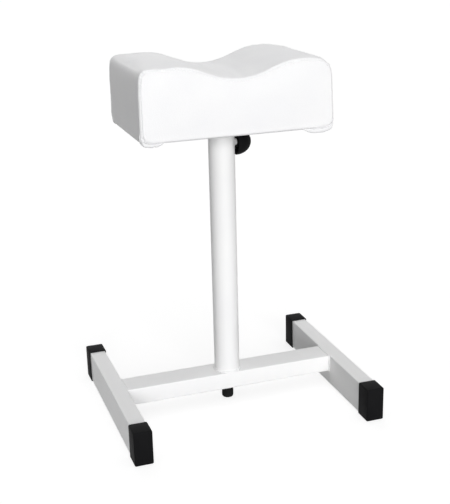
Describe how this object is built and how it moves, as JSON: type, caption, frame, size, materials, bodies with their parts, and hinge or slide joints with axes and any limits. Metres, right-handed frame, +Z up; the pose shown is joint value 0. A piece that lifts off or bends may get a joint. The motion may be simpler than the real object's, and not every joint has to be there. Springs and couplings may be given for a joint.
{
  "type": "pedicure footrest",
  "caption": "Pedicure footrest with a saddle-shaped padded cushion on a telescopic round post, a side clamp knob and an H-shaped tubular base with black end boots.",
  "frame": {"origin": "on the floor under the middle of the post, which is the bottom centre of the whole part's box", "axes": "+Z up along the post, +X to the right along the crossbar towards the clamp knob, -Y out of the cushion's front"},
  "size_m": [0.3932, 0.328, 0.5511],
  "materials": {
    "white_powder_coat": "smooth satin white powder coat",
    "black_plastic": "black moulded plastic, fine satin grain",
    "black_rubber": "matt black rubber",
    "zinc_steel": "bright zinc plate",
    "chrome_tube": "polished chrome plate",
    "black_nylon": "turned black nylon",
    "white_vinyl": "white faux leather, fine pebble grain, soft sheen",
    "foam": "open-cell upholstery foam",
    "plywood": "raw birch plywood",
    "black_liner": "black non-woven liner"
  },
  "bodies": {
    "base": {"left_rail": "white_powder_coat", "right_rail": "white_powder_coat", "crossbar": "white_powder_coat", "boot_front_left": "black_plastic", "boot_rear_left": "black_plastic", "boot_front_right": "black_plastic", "boot_rear_right": "black_plastic", "centre_foot": "black_rubber", "base_bolt": "zinc_steel", "base_washer": "zinc_steel", "post_plug": "zinc_steel", "post_tube": "white_powder_coat", "clamp_boss": "white_powder_coat", "guide_sleeve": "black_nylon"},
    "slider": {"inner_glide": "black_nylon"},
    "seat": {"inner_tube": "chrome_tube", "seat_plate": "white_powder_coat", "plate_screw_1": "zinc_steel", "plate_screw_2": "zinc_steel", "plate_screw_3": "zinc_steel", "plate_screw_4": "zinc_steel", "seat_board": "plywood", "foam_core": "foam", "cover_wrap": "white_vinyl", "cover_front": "white_vinyl", "cover_rear": "white_vinyl", "under_liner": "black_liner"},
    "press": {"clamp_pad": "black_nylon"},
    "knob": {"clamp_screw": "zinc_steel", "clamp_knob": "black_plastic"}
  },
  "joints": [
    {"name": "height_slide", "type": "slide", "parent": "base", "child": "slider", "axis": [0, 0, 1], "range_m": [0, 0.18]},
    {"name": "seat_swivel", "type": "hinge", "parent": "slider", "child": "seat", "pos_m": [0, 0, 0.4427], "axis": [0, 0, 1], "continuous": true},
    {"name": "clamp_travel", "type": "slide", "parent": "base", "child": "press", "axis": [1, 0, 0], "range_m": [0, 0.0025]},
    {"name": "clamp_turn", "type": "hinge", "parent": "press", "child": "knob", "pos_m": [0.03, 0, 0.4187], "axis": [1, 0, 0], "range_deg": [0, 720]}
  ],
  "couplings": [
    {"joint": "clamp_travel", "follows": "clamp_turn", "m_per_rad": 0.00019894}
  ]
}
